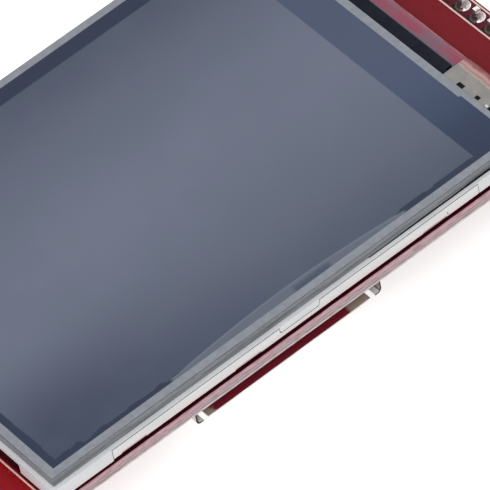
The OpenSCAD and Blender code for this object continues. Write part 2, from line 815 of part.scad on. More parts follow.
module package_leads() {
    color("silver") on_back() for (p = [regulator_pos, transistor_pos]) translate(p) {
        for (x = [-sot_pitch, sot_pitch]) rotate([0, 0, 180]) translate([x, sot_w / 2, 0])
            along_x(-sot_lead_w / 2, sot_lead_w / 2) polygon(lead_outline(sot_lead_out, sot_h / 2));
        translate([0, sot_w / 2, 0])
            along_x(-sot_lead_w / 2, sot_lead_w / 2) polygon(lead_outline(sot_lead_out, sot_h / 2));
    }
}

// Bodies and plated ends of the chip parts at the given places
module chip_bodies(places, h) {
    on_back() for (p = places) translate([p.x, p.y, h / 2])
        cube([smd_l - 2 * end_l, smd_w, h], center = true);
}

module chip_ends(places, h) {
    on_back() for (p = places, s = [-1, 1]) translate([p.x + s * (smd_l - end_l) / 2, p.y, h / 2])
        cube([end_l, smd_w, h], center = true);
}

module resistors() {
    color("black") chip_bodies(resistor_pos, smd_h);
}

module resistor_ends() {
    color("silver") chip_ends(resistor_pos, smd_h);
}

module capacitors() {
    color("peru") chip_bodies(capacitor_pos, smd_w);
}

module capacitor_ends() {
    color("silver") chip_ends(capacitor_pos, smd_w);
}

circuit_board();
mounting_tape();
rear_tray();
moulded_frame();
reflector_sheet();
light_guide();
diffuser_sheet();
lower_prism_sheet();
upper_prism_sheet();
lamp_strip();
lamps();
rear_polariser();
array_glass();
filter_glass();
front_polariser();
driver_chip();
display_flex();
flex_cover_tape();
bonding_tape();
touch_glass();
touch_spacer();
touch_film();
touch_tail();
header_strip();
header_pins();
header_solder();
socket_shell();
socket_base();
socket_contacts();
controller_body();
controller_leads();
regulator_body();
transistor_body();
package_leads();
resistors();
resistor_ends();
capacitors();
capacitor_ends();
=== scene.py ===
"""Looks of the colour display module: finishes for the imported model's pieces, the printed,
plated and soldered detail on its board, a plain studio and a camera."""

import json
import math

import bmesh
import bpy
from mathutils import Matrix, Vector


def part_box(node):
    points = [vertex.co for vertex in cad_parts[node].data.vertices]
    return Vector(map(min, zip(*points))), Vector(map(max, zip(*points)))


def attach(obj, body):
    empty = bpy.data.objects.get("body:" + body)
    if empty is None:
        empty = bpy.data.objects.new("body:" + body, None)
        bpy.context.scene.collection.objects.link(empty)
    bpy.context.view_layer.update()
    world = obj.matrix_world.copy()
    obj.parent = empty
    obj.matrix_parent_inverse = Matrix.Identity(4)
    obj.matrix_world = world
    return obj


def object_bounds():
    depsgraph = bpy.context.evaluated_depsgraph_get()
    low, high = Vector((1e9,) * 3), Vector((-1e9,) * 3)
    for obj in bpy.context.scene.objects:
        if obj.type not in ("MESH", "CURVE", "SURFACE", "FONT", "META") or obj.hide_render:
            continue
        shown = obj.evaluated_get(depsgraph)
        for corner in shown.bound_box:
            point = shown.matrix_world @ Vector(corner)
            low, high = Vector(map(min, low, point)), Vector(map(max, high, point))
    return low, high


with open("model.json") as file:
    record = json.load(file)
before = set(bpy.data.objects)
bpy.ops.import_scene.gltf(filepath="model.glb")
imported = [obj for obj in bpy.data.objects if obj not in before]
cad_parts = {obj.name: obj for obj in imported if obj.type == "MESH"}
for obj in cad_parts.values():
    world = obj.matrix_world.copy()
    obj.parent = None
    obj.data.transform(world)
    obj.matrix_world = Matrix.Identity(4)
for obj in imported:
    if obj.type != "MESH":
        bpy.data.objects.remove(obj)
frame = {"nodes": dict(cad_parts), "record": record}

MM = 0.001
NODES = frame["nodes"]
CAD_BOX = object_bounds()


# --- measures from the frame, in millimetres ----------------------------------------------

def box_mm(node):
    """Lowest and highest corner of a node, in millimetres."""
    low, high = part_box(node)
    return low / MM, high / MM


def islands(node):
    """Boxes, in millimetres, of the separate solids of one node."""
    mesh = NODES[node].data
    points = {}
    parent = {}

    def root(key):
        while parent[key] != key:
            parent[key] = parent[parent[key]]
            key = parent[key]
        return key

    keys = []
    for vertex in mesh.vertices:
        key = tuple(round(c / MM, 3) for c in vertex.co)
        keys.append(key)
        parent.setdefault(key, key)
    for polygon in mesh.polygons:
        first = root(keys[polygon.vertices[0]])
        for index in polygon.vertices[1:]:
            parent[root(keys[index])] = first
            first = root(first)
    for key in parent:
        points.setdefault(root(key), []).append(key)
    boxes = []
    for group in points.values():
        low = Vector([min(p[axis] for p in group) for axis in range(3)])
        high = Vector([max(p[axis] for p in group) for axis in range(3)])
        boxes.append((low, high))
    return sorted(boxes, key=lambda b: tuple(b[0]))


BOARD_LOW, BOARD_HIGH = box_mm("circuit_board")
FILM_LOW, FILM_HIGH = box_mm("touch_film")
FRAME_LOW, FRAME_HIGH = box_mm("moulded_frame")
TAIL_TOP = box_mm("touch_tail")[1].z
PINS_LOW, PINS_HIGH = box_mm("header_pins")
SOCKET_LOW, SOCKET_HIGH = box_mm("socket_shell")
MOUNTS = {mount["name"]: mount for mount in frame["record"]["mounts"]}

FRONT = BOARD_HIGH.z
BACK = BOARD_LOW.z
PIN_X = (PINS_LOW.x + PINS_HIGH.x) / 2
PIN_Y = [(low.y + high.y) / 2 for low, high in islands("header_pins")]
SPARE = [Vector(mount["pos_m"]) / MM for name, mount in sorted(MOUNTS.items())
         if name.startswith("spare_hole")]
SPARE_R = MOUNTS["spare_hole_1"]["dims"]["r_mm"]
HOLES = MOUNTS["board_holes"]["dims"]
HOLE_R = HOLES["hole_r_mm"]
CORNERS = [Vector((sx * HOLES["spacing_x_mm"] / 2, sy * HOLES["spacing_y_mm"] / 2, 0))
           for sx in (-1, 1) for sy in (-1, 1)]


# --- materials ------------------------------------------------------------------------------

def srgb(red, green, blue):
    """Linear colour from 0 to 255 values as a picture shows them."""
    def linear(c):
        c /= 255
        return c / 12.92 if c <= 0.04045 else ((c + 0.055) / 1.055) ** 2.4
    return (linear(red), linear(green), linear(blue), 1.0)


class Finish:
    """A Principled material whose textures are laid out in the model's own millimetres."""

    def __init__(self, name, roughness=0.5, metallic=0.0, **sockets):
        self.material = bpy.data.materials.new(name)
        self.material.use_nodes = True
        self.nodes = self.material.node_tree.nodes
        self.links = self.material.node_tree.links
        self.shader = self.nodes["Principled BSDF"]
        self.shader.inputs["Roughness"].default_value = roughness
        self.shader.inputs["Metallic"].default_value = metallic
        for socket, value in sockets.items():
            self.shader.inputs[socket.replace("_", " ")].default_value = value
        scale = self.nodes.new("ShaderNodeVectorMath")
        scale.operation = "SCALE"
        scale.inputs["Scale"].default_value = 1 / MM
        self.links.new(self.nodes.new("ShaderNodeTexCoord").outputs["Object"], scale.inputs[0])
        self.place = scale.outputs[0]
        split = self.nodes.new("ShaderNodeSeparateXYZ")
        self.links.new(self.place, split.inputs[0])
        self.x, self.y, self.z = split.outputs
        turn = self.nodes.new("ShaderNodeSeparateXYZ")
        self.links.new(self.nodes.new("ShaderNodeNewGeometry").outputs["Normal"], turn.inputs[0])
        self.facing = turn.outputs[2]
        self.sideways = self.math("ABSOLUTE", turn.outputs[1])

    def put(self, value, socket):
        """A value or another node's output goes into a socket."""
        if isinstance(value, bpy.types.NodeSocket):
            self.links.new(value, socket)
        else:
            socket.default_value = value

    def math(self, operation, a, b=0.0, clamp=False):
        node = self.nodes.new("ShaderNodeMath")
        node.operation = operation
        node.use_clamp = clamp
        self.put(a, node.inputs[0])
        self.put(b, node.inputs[1])
        return node.outputs[0]

    def ramp(self, value, start, end, low=0.0, high=1.0):
        """Smooth step of a value from low at start to high at end."""
        node = self.nodes.new("ShaderNodeMapRange")
        node.interpolation_type = "SMOOTHSTEP"
        for socket, number in zip(node.inputs[:5], (value, start, end, low, high)):
            self.put(number, socket)
        return node.outputs[0]

    def band(self, value, low, high, soft=0.03):
        """1 where low < value < high, with soft edges."""
        up = self.ramp(value, low - soft / 2, low + soft / 2)
        down = self.ramp(value, high - soft / 2, high + soft / 2, 1.0, 0.0)
        return self.math("MULTIPLY", up, down)

    def shades(self, value, stops):
        """A colour that runs through (value, colour) stops."""
        spread = self.nodes.new("ShaderNodeMapRange")
        self.put(value, spread.inputs["Value"])
        first, last = stops[0][0], stops[-1][0]
        spread.inputs["From Min"].default_value = first
        spread.inputs["From Max"].default_value = last
        ramp = self.nodes.new("ShaderNodeValToRGB")
        ramp.color_ramp.interpolation = "CARDINAL"
        points = ramp.color_ramp.elements
        points[0].color, points[1].color = stops[0][1], stops[-1][1]
        for at, colour in stops[1:-1]:
            points.new((at - first) / (last - first)).color = colour
        self.links.new(spread.outputs[0], ramp.inputs["Fac"])
        return ramp.outputs["Color"]

    def inside(self, x0, x1, y0, y1, soft=0.03):
        """1 inside a rectangle seen from above."""
        return self.math("MULTIPLY", self.band(self.x, x0, x1, soft), self.band(self.y, y0, y1, soft))

    def noise(self, size, detail=2.0, stretch=(1, 1, 1), roughness=0.5):
        """Noise from 0 to 1 with features of about that size in millimetres."""
        mapping = self.nodes.new("ShaderNodeMapping")
        mapping.inputs["Scale"].default_value = [1 / (size * s) for s in stretch]
        self.links.new(self.place, mapping.inputs["Vector"])
        node = self.nodes.new("ShaderNodeTexNoise")
        node.inputs["Scale"].default_value = 1.0
        node.inputs["Detail"].default_value = detail
        node.inputs["Roughness"].default_value = roughness
        self.links.new(mapping.outputs[0], node.inputs["Vector"])
        return node.outputs["Fac"]

    def mix(self, amount, a, b):
        """Colour a where amount is 0 and b where it is 1."""
        node = self.nodes.new("ShaderNodeMix")
        node.data_type = "RGBA"
        self.put(amount, node.inputs[0])
        self.put(a, node.inputs[6])
        self.put(b, node.inputs[7])
        return node.outputs[2]

    def colour(self, value):
        self.put(value, self.shader.inputs["Base Color"])

    def rough(self, value):
        self.put(value, self.shader.inputs["Roughness"])

    def bump(self, height, depth, strength=1.0):
        """Relief of that depth in millimetres."""
        node = self.nodes.new("ShaderNodeBump")
        node.inputs["Strength"].default_value = strength
        node.inputs["Distance"].default_value = depth * MM
        self.put(height, node.inputs["Height"])
        self.links.new(node.outputs[0], self.shader.inputs["Normal"])


def mottled(name, dark, light, size, roughness=0.5, metallic=0.0, grain=None, **sockets):
    """A finish that wanders between two colours, with a fine grain of (size, depth)."""
    made = Finish(name, roughness, metallic, **sockets)
    made.colour(made.mix(made.ramp(made.noise(size, 3), 0.3, 0.7), dark, light))
    if grain:
        made.bump(made.noise(grain[0], 3), grain[1])
        made.rough(made.ramp(made.noise(size * 0.7), 0.2, 0.8, roughness - 0.06, roughness + 0.06))
    return made


def lacquer_colour(made):
    """Red lacquer, with painted shade at the header, beside its joints and under the panel."""
    red = made.mix(made.ramp(made.x, BOARD_LOW.x, BOARD_HIGH.x), srgb(150, 16, 26), srgb(124, 22, 33))
    weave = made.noise(0.9, 2, (1, 0.35, 1))
    red = made.mix(made.ramp(weave, 0.35, 0.75, 0.0, 0.3), red, srgb(96, 13, 21))
    # painted shade between the header's joints, darkest on one side of each
    box = made.inside(PIN_X - 1.3, PIN_X + 1.3, PIN_Y[0] - 1.5, PIN_Y[-1] + 1.5, 0.3)
    red = made.mix(made.math("MULTIPLY", box, 0.75), red, srgb(74, 26, 38))
    beside_joint_shade = joint_shade(made, (-0.75, 0.4), 0.75)
    red = made.mix(made.math("MULTIPLY", beside_joint_shade, 0.85), red, srgb(30, 20, 18))
    speck = made.ramp(made.noise(0.9, 2), 0.73, 0.77, 0.0, 0.6)
    red = made.mix(made.math("MULTIPLY", speck, made.facing, True), red, srgb(186, 104, 108))
    # painted shade: the lacquer under the panel is darkened
    under = made.inside(FRAME_LOW.x + 0.1, FRAME_HIGH.x - 0.1, -26, 26, 0.2)
    return made.mix(made.math("MULTIPLY", under, made.ramp(made.facing, 0.3, 0.9)), red, srgb(62, 14, 22))


def fibre_colour(made, streaks):
    """Fibreglass in layers from the front face down: score, snapped core, score."""
    depth = made.math("ADD", made.math("SUBTRACT", BOARD_HIGH.z, made.z),
                      made.ramp(made.noise(0.7, 3, (3, 3, 1)), 0.0, 1.0, -0.12, 0.12))
    edge = made.shades(depth, [(0.0, srgb(152, 92, 102)), (0.14, srgb(202, 160, 168)),
                               (0.45, srgb(198, 172, 176)), (0.56, srgb(174, 146, 152)),
                               (0.8, srgb(196, 184, 186)), (1.02, srgb(166, 146, 150)),
                               (1.3, srgb(226, 218, 216)), (1.6, srgb(236, 230, 228))])
    cloud = made.ramp(made.noise(1.6, 3), 0.35, 0.65, 0.0, 0.45)
    edge = made.mix(cloud, edge, srgb(206, 178, 184))
    return made.mix(made.ramp(streaks, 0.45, 0.66, 0.0, 0.5), edge, srgb(146, 116, 122))


def board_finish():
    """Red lacquer on the faces; scored and snapped fibreglass on the edges."""
    made = Finish("red_board", 0.32, Specular_IOR_Level=0.1)
    streaks = made.noise(0.24, 3, (5, 5, 0.7))
    face = made.ramp(made.math("ABSOLUTE", made.facing), 0.6, 0.9)
    made.colour(made.mix(face, fibre_colour(made, streaks), lacquer_colour(made)))
    made.rough(made.ramp(face, 0.0, 1.0, 0.85, 0.3))
    made.bump(made.mix(face, streaks, made.noise(0.5, 2)), 0.02, 0.5)
    return made


def from_pin(made, shift=(0, 0)):
    """Distances along X and Y from a place beside the nearest header pin."""
    pitch = PIN_Y[1] - PIN_Y[0]
    start = PIN_Y[0] + shift[1] - pitch / 2
    along = made.math("FLOORED_MODULO", made.math("SUBTRACT", made.y, start), pitch)
    return made.math("SUBTRACT", made.x, PIN_X + shift[0]), made.math("SUBTRACT", along, pitch / 2)


def joint_shade(made, shift, reach):
    """1 beside each of the header's joints, fading out at that reach."""
    across, along = (made.math("MULTIPLY", d, d) for d in from_pin(made, shift))
    away = made.math("SQRT", made.math("ADD", along, across))
    return made.ramp(away, reach * 0.45, reach, 1.0, 0.0)


def screen_colour(made):
    """The screen is lightest along its middle and falls off to both long sides, as painted light and shade.
    """
    screen = made.shades(made.y, [(-24, srgb(78, 87, 106)), (-17, srgb(96, 102, 120)),
                                  (-9, srgb(107, 114, 132)), (0, srgb(114, 119, 138)),
                                  (8, srgb(106, 113, 131)), (15, srgb(97, 102, 121)),
                                  (22, srgb(80, 88, 106))])
    # painted shade towards the screen's low X, low Y corner
    corner = made.math("MULTIPLY", made.ramp(made.x, 2, -34), made.ramp(made.y, -7, -20))
    screen = made.mix(made.math("MULTIPLY", corner, 0.75), screen, srgb(62, 70, 92))
    cloud = made.ramp(made.noise(9.0, 3), 0.35, 0.7, 0.0, 0.25)
    return made.mix(cloud, screen, srgb(96, 108, 122))


def touch_finish():
    """The touch film's top: grey ring, dark border, blue-grey screen and the band before the flex."""
    ring_w = 1.0
    band_x = 25.7
    x0, x1 = FILM_LOW.x + ring_w, FILM_HIGH.x - ring_w
    y0, y1 = FILM_LOW.y + ring_w, FILM_HIGH.y - ring_w
    made = Finish("touch_film", 0.16, Specular_IOR_Level=0.12)
    screen = screen_colour(made)
    blue = made.shades(made.y, [(-23, srgb(50, 60, 84)), (-17, srgb(60, 72, 97)), (-11, srgb(74, 85, 110)),
                                (-4, srgb(80, 90, 114)), (22, srgb(78, 88, 112))])
    dark = srgb(52, 60, 80)
    # the border before the screen is uneven, and breaks off along a lens of trapped air
    step = made.ramp(made.noise(2.6, 2, (1, 40, 1)), 0.42, 0.52, 0.0, 0.16)
    for low, high, width in ((-35, -29.6, 0.45), (-28.4, -18.4, 0.2), (15, 40, 0.25)):
        step = made.math("ADD", step, made.math("MULTIPLY", made.band(made.x, low, high, 0.3), width))
    step = made.math("MULTIPLY", step, made.ramp(made.y, 0, -4))
    edge_y = made.math("SUBTRACT", made.y, step)
    lens_x0, lens_x1, lens_y, lens_h = -17.6, 15.4, -23.15, 1.0
    turn = made.math("MULTIPLY", made.math("SUBTRACT", made.x, lens_x0), math.pi / (lens_x1 - lens_x0))
    rise = made.math("MULTIPLY", made.math("SINE", turn), lens_h)
    below = made.math("SUBTRACT", made.math("ADD", rise, lens_y), made.y)
    along = made.band(made.x, lens_x0, lens_x1, 0.8)
    lens = made.math("MULTIPLY", along, made.ramp(below, -0.06, 0.06))
    rim = made.math("MULTIPLY", along, made.band(below, -0.06, 0.2, 0.1))
    wedge = made.math("MULTIPLY", made.inside(-0.2, 4.8, y0 - 1, lens_y + 0.4, 0.8), 0.9)
    edge_x = made.math("ADD", made.x, made.ramp(made.noise(2.2, 2, (40, 1, 1)), 0.42, 0.6, 0.0, 0.12))
    view = made.math("MULTIPLY", made.band(edge_x, x0 + 1.0, x1 + 2, 0.25),
                     made.band(edge_y, y0 + 0.4, y1 - 2.1, 0.2))
    view = made.math("MAXIMUM", view, lens)
    screen = made.mix(lens, screen, srgb(102, 109, 124))
    screen = made.mix(made.math("MULTIPLY", rim, 0.7), screen, srgb(116, 122, 135))
    screen = made.mix(wedge, screen, srgb(74, 84, 104))
    flex_end = made.band(made.x, band_x, x1 + 1, 0.2)
    inner = made.mix(view, dark, made.mix(flex_end, screen, blue))
    ring = made.mix(made.ramp(made.noise(0.7, 3), 0.3, 0.7), srgb(138, 142, 151), srgb(148, 152, 160))
    shift = made.ramp(made.y, -14.9, -15.1, 0.0, 0.3)
    window = made.math("MULTIPLY", made.band(made.math("SUBTRACT", made.x, shift), x0 - 0.3, x1, 0.06),
                       made.band(made.y, y0, y1, 0.06))
    window = made.math("MULTIPLY", window, made.band(made.x, x0, x1 + 1, 0.06))
    top = made.mix(window, ring, inner)
    side = made.mix(made.ramp(made.noise(1.2, 3, (3, 3, 1)), 0.3, 0.7), srgb(92, 95, 100),
                    srgb(112, 115, 119))
    made.colour(made.mix(made.ramp(made.facing, 0.5, 0.8), side, top))
    made.bump(made.noise(6.0, 2), 0.004)
    return made


def glass_edge(name):
    """Cut glass seen from its edge: dark grey-green with long streaks."""
    made = Finish(name, 0.15, Specular_IOR_Level=0.2)
    streaks = made.noise(0.3, 3, (22, 22, 1))
    body = made.mix(made.ramp(streaks, 0.3, 0.7), srgb(108, 111, 116), srgb(134, 137, 142))
    # one uneven darker line where the cut was broken off
    height = made.math("ADD", made.z, made.ramp(made.noise(2.6, 2), 0.0, 1.0, -0.1, 0.1))
    line = made.math("MULTIPLY", made.band(height, 3.0, 3.16, 0.06), made.ramp(made.noise(4.0), 0.4, 0.6))
    made.colour(made.mix(made.math("MULTIPLY", line, 0.7), body, srgb(66, 70, 74)))
    made.bump(streaks, 0.01)
    return made


# spans along X where the tray wall gets painted shade, deepening downward below z 1.2
SHADED_SPANS = ((-26.4, -23.0), (-10.5, -6.95), (16.1, 19.5))


def tray_finish():
    """Bright pressed sheet, with a painted reflection of the red board low on its walls and painted shade at
    its seam and notches.
    """
    made = Finish("pressed_tray", 0.45, 0.1, Specular_IOR_Level=0.3)
    rolled = made.noise(0.5, 3, (12, 12, 1))
    body = made.mix(made.ramp(rolled, 0.3, 0.7), srgb(224, 224, 225), srgb(233, 233, 232))
    # painted reflection of the red board, low on the walls
    glow = made.ramp(made.z, 0.7, 1.7, 0.55, 0.0)
    body = made.mix(glow, body, srgb(236, 202, 204))
    # painted shade on the upward cut edges along the seam and the lug, in the notches and below the tongue
    seam_shade = made.math("MULTIPLY", made.ramp(made.facing, 0.6, 0.8), made.ramp(made.z, 1.1, 1.2))
    body = made.mix(seam_shade, body, srgb(122, 124, 130))
    depth = made.math("SUBTRACT", FRAME_HIGH.y, made.math("ABSOLUTE", made.y))
    shade = made.math("MULTIPLY", made.ramp(depth, 0.26, 0.29), made.ramp(made.z, 1.1, 1.0))
    body = made.mix(shade, body, srgb(84, 48, 56))
    span_shade = made.ramp(made.z, 1.2, 0.85, 0.0, 0.85)
    for low, high in SHADED_SPANS:
        here = made.math("MULTIPLY", made.band(made.x, low, high, 0.15), span_shade)
        body = made.mix(here, body, srgb(128, 92, 98))
    made.colour(body)
    made.bump(rolled, 0.004)
    return made


def moulded_finish():
    """White moulding, with painted shade where it lies back behind the tray's walls and a painted reflection
    of the red board low down.
    """
    made = Finish("frame_white", 0.42, Specular_IOR_Level=0.3)
    body = made.mix(made.ramp(made.noise(4.0, 3), 0.3, 0.7), srgb(224, 226, 230), srgb(233, 234, 236))
    # painted reflection of the red board, low on the moulding
    glow = made.ramp(made.z, 0.7, 1.4, 0.35, 0.0)
    body = made.mix(glow, body, srgb(236, 206, 208))
    # painted shade where the moulding lies back behind the tray's walls
    depth = made.math("SUBTRACT", FRAME_HIGH.y, made.math("ABSOLUTE", made.y))
    recess_shade = made.math("MULTIPLY", made.ramp(depth, 0.02, 0.2), made.ramp(made.sideways, 0.7, 0.9))
    made.colour(made.mix(recess_shade, body, srgb(84, 86, 92)))
    made.bump(made.noise(0.25, 3), 0.006)
    return made


def flex_colour(made, base, cloudy, copper, pitch=0.5):
    """Polyimide with copper lines along X showing faintly through, which also stand up a little."""
    wave = made.math("SINE", made.math("MULTIPLY", made.y, 2 * math.pi / pitch))
    lines = made.ramp(wave, -0.2, 0.4)
    cloud = made.ramp(made.noise(3.2, 3, (1, 2.2, 1)), 0.4, 0.6)
    made.bump(lines, 0.004)
    return made.mix(made.math("MULTIPLY", lines, 0.06), made.mix(cloud, base, cloudy), copper)


def lamp_flex_finish():
    """The amber strip that carries the lamps."""
    made = Finish("lamp_flex", 0.3, Specular_IOR_Level=0.25)
    made.colour(flex_colour(made, srgb(176, 112, 42), srgb(190, 128, 56), srgb(210, 150, 90), 1.2))
    return made


def display_flex_finish():
    """The display flex: grey in a band beside the tape, with a painted pink reflection of the board on the
    bend and a painted highlight at its edge.
    """
    made = Finish("display_flex", 0.3, Specular_IOR_Level=0.25)
    body = flex_colour(made, srgb(146, 68, 90), srgb(124, 88, 106), srgb(188, 104, 100))
    drift = made.math("ADD", made.x, made.ramp(made.noise(3.0, 3, (1, 1.5, 1)), 0.25, 0.75, -0.3, 0.3))
    grey_band = made.band(drift, FRAME_HIGH.x - 0.2, FRAME_HIGH.x + 0.45, 0.3)
    body = made.mix(made.math("MULTIPLY", grey_band, 0.8), body, srgb(106, 98, 110))
    # painted pink reflection of the board where the flex turns, and a painted highlight along its edge
    bend = made.ramp(made.facing, 0.93, 0.8)
    edge_highlight = made.math("MULTIPLY", made.band(made.facing, 0.45, 0.8, 0.2),
                     made.ramp(made.noise(2.4), 0.4, 0.55))
    body = made.mix(made.math("MULTIPLY", bend, 0.5), body, srgb(160, 70, 86))
    made.colour(made.mix(made.math("MULTIPLY", edge_highlight, 0.6), body, srgb(206, 140, 140)))
    return made


def tail_finish():
    """Grey carbon print of the touch tail, with painted highlights and a painted red reflection of the board
    where it turns down.
    """
    made = Finish("tail_film", 0.4, Specular_IOR_Level=0.2)
    body = made.mix(made.ramp(made.noise(1.4, 3), 0.3, 0.7), srgb(140, 137, 134), srgb(152, 149, 145))
    drift = made.math("ADD", made.x, made.ramp(made.noise(1.1, 3), 0.2, 0.8, -0.12, 0.12))
    # painted highlights and a painted red reflection of the board along X where the tail turns down
    turned = made.shades(drift, [(33.3, srgb(146, 140, 136)), (33.6, srgb(182, 158, 150)),
                                 (33.85, srgb(160, 130, 126)), (34.15, srgb(192, 154, 148)),
                                 (34.5, srgb(148, 94, 94)), (35.2, srgb(132, 66, 72))])
    made.colour(made.mix(made.ramp(drift, 33.3, 33.5), body, turned))
    made.bump(made.noise(0.5, 3), 0.006)
    return made


def solder_finish(name, painted_dark_side=False):
    """Bright, slightly uneven tin, and with a painted dark reflection on one side of the header's joints."""
    made = Finish(name, 0.2, 1.0)
    cloud = made.ramp(made.noise(0.35, 3), 0.3, 0.7)
    tin = made.mix(cloud, srgb(206, 200, 198), srgb(240, 236, 234))
    if painted_dark_side:
        # painted dark reflection on one side of each of the header's joints
        across, along = from_pin(made)
        side = made.math("SUBTRACT", made.math("MULTIPLY", across, 0.86), made.math("MULTIPLY", along, 0.51))
        side = made.math("ADD", side, made.ramp(made.noise(0.5, 2), 0.2, 0.8, -0.25, 0.25))
        dark_reflection = made.math("MULTIPLY", made.ramp(side, 0.0, -0.2),
                         made.ramp(made.z, FRONT - 0.1, FRONT, 0.0, 0.92))
        tin = made.mix(dark_reflection, tin, srgb(52, 44, 38))
        made.put(0.55, made.shader.inputs["Metallic"])
    made.colour(tin)
    made.rough(made.ramp(made.noise(0.2, 2), 0.3, 0.7, 0.14, 0.36))
    made.bump(made.noise(0.25, 3), 0.04)
    return made


def pin_finish():
    """Gold plating, tinned where the pins stand in their joints."""
    made = Finish("pin_gold", 0.24, 1.0)
    gold = made.mix(made.ramp(made.noise(0.8, 3), 0.3, 0.7), srgb(212, 168, 86), srgb(232, 194, 118))
    cloud = made.ramp(made.noise(0.3, 3), 0.35, 0.65)
    tin = made.mix(cloud, srgb(176, 168, 164), srgb(236, 232, 230))
    made.colour(made.mix(made.ramp(made.z, FRONT - 0.1, FRONT + 0.1), gold, tin))
    made.bump(made.noise(0.2, 3), 0.006)
    return made


def steel_finish(name):
    """Tinned steel of the card socket's shell; its inside plate is not metallic and carries a painted red
    reflection of the board above.
    """
    made = Finish(name, 0.2, 1.0, Specular_IOR_Level=0.3)
    lines = made.noise(0.12, 2, (30, 1, 30))
    cloud = made.ramp(made.noise(3.0, 4), 0.35, 0.7)
    steel = made.mix(cloud, srgb(196, 196, 194), srgb(222, 222, 220))
    plate = made.math("MULTIPLY", made.ramp(made.facing, 0.6, 0.8),
                      made.ramp(made.z, SOCKET_LOW.z + 0.4, SOCKET_LOW.z + 0.25))
    middle = (SOCKET_LOW.x + SOCKET_HIGH.x) / 2
    reach = made.math("ABSOLUTE", made.math("SUBTRACT", made.x, middle - 0.8))
    reach = made.math("ADD", reach, made.ramp(made.noise(0.8, 3), 0.2, 0.8, -0.4, 0.4))
    # painted reflection of the red board on the plate's middle, tan towards its ends
    inside = made.mix(made.ramp(reach, 9.3, 10.0), srgb(142, 44, 60), srgb(186, 174, 162))
    # painted highlight: the insides of the ears are painted near white
    ear = made.ramp(made.math("ABSOLUTE", made.math("SUBTRACT", made.x, middle)), 11.9, 12.1)
    inside = made.mix(ear, inside, srgb(250, 249, 247))
    steel = made.mix(plate, steel, inside)
    # painted shade along the rims of the ears
    rim = made.math("MULTIPLY", made.ramp(made.sideways, 0.8, 0.95), ear)
    made.colour(made.mix(rim, steel, srgb(40, 40, 38)))
    made.put(made.ramp(plate, 0.0, 1.0, 1.0, 0.0), made.shader.inputs["Metallic"])
    made.rough(made.ramp(lines, 0.3, 0.7, 0.16, 0.32))
    made.bump(lines, 0.005)
    return made


def make_finishes():
    """One finish for each CAD node, by the node's name."""
    def both(colour_a, colour_b):
        return srgb(*colour_a), srgb(*colour_b)
    package = mottled("mould_compound", *both((30, 31, 33), (44, 45, 47)), 0.6, 0.6, grain=(0.08, 0.012))
    tin = solder_finish("bright_tin")
    leads = mottled("lead_tin", *both((176, 176, 174), (206, 206, 203)), 0.4, 0.28, 1.0, (0.1, 0.004))
    gold = mottled("contact_gold", *both((212, 168, 86), (232, 194, 118)), 0.8, 0.22, 1.0, (0.2, 0.004))
    clear = mottled("clear_sheet", *both((206, 212, 216), (222, 227, 230)), 3.0, 0.12, grain=(0.4, 0.002))
    finishes = {
        "circuit_board": board_finish(),
        "mounting_tape": mottled("foam", *both((60, 60, 63), (84, 84, 88)), 0.2, 0.9, grain=(0.12, 0.05)),
        "rear_tray": tray_finish(),
        "moulded_frame": moulded_finish(),
        "reflector_sheet": mottled("reflector", *both((226, 226, 228), (240, 240, 241)), 3.0, 0.3,
                                   grain=(0.5, 0.003)),
        "light_guide": clear,
        "diffuser_sheet": mottled("diffuser", *both((222, 223, 225), (234, 235, 236)), 2.0, 0.5,
                                  grain=(0.1, 0.003)),
        "lower_prism_sheet": clear,
        "upper_prism_sheet": clear,
        "lamp_strip": lamp_flex_finish(),
        "lamps": mottled("lamp_phosphor", *both((226, 202, 112), (240, 222, 150)), 0.6, 0.4,
                         grain=(0.1, 0.01)),
        "rear_polariser": mottled("polariser_rear", *both((46, 48, 54), (60, 62, 68)), 3.0, 0.25,
                                  grain=(0.5, 0.002)),
        "array_glass": glass_edge("array_glass"),
        "filter_glass": glass_edge("filter_glass"),
        "front_polariser": mottled("polariser_front", *both((38, 42, 54), (50, 54, 66)), 3.0, 0.25,
                                   grain=(0.5, 0.002)),
        "driver_chip": mottled("bare_silicon", *both((70, 72, 80), (96, 98, 108)), 0.8, 0.15, 0.6,
                               (0.3, 0.002)),
        "display_flex": display_flex_finish(),
        "flex_cover_tape": mottled("cover_tape", *both((26, 28, 40), (34, 36, 48)), 1.5, 0.45,
                                   grain=(0.3, 0.01), Specular_IOR_Level=0.05),
        "bonding_tape": mottled("bonding_tape", *both((22, 23, 26), (34, 35, 38)), 1.0, 0.6,
                                grain=(0.2, 0.01), Specular_IOR_Level=0.05),
        "touch_glass": glass_edge("touch_glass"),
        "touch_spacer": mottled("silver_ink", *both((120, 122, 126), (146, 148, 152)), 0.6, 0.5,
                                grain=(0.15, 0.006)),
        "touch_film": touch_finish(),
        "touch_tail": tail_finish(),
        "header_strip": mottled("strip_black", *both((20, 20, 21), (32, 32, 33)), 0.8, 0.5,
                                grain=(0.1, 0.008)),
        "header_pins": pin_finish(),
        "header_solder": solder_finish("joint_tin", True),
        "socket_shell": steel_finish("socket_steel"),
        "socket_base": mottled("socket_moulding", *both((150, 140, 128), (168, 158, 146)), 1.0, 0.55,
                               grain=(0.12, 0.01)),
        "socket_contacts": gold,
        "controller_body": package,
        "controller_leads": leads,
        "regulator_body": package,
        "transistor_body": package,
        "package_leads": leads,
        "resistors": mottled("resistor_glaze", *both((18, 18, 19), (30, 30, 32)), 0.3, 0.25,
                             grain=(0.1, 0.006)),
        "resistor_ends": tin,
        "capacitors": mottled("ceramic_tan", *both((150, 116, 84), (170, 136, 100)), 0.3, 0.4,
                              grain=(0.08, 0.006)),
        "capacitor_ends": tin,
    }
    for name, node in NODES.items():
        slots = node.data.materials
        slots.clear()
        slots.append(finishes[name].material)
    return finishes


# --- meshes ---------------------------------------------------------------------------------

def on_circle(centre, radius, angle):
    """X and Y of a point on a circle."""
    return centre.x + radius * math.cos(angle), centre.y + radius * math.sin(angle)


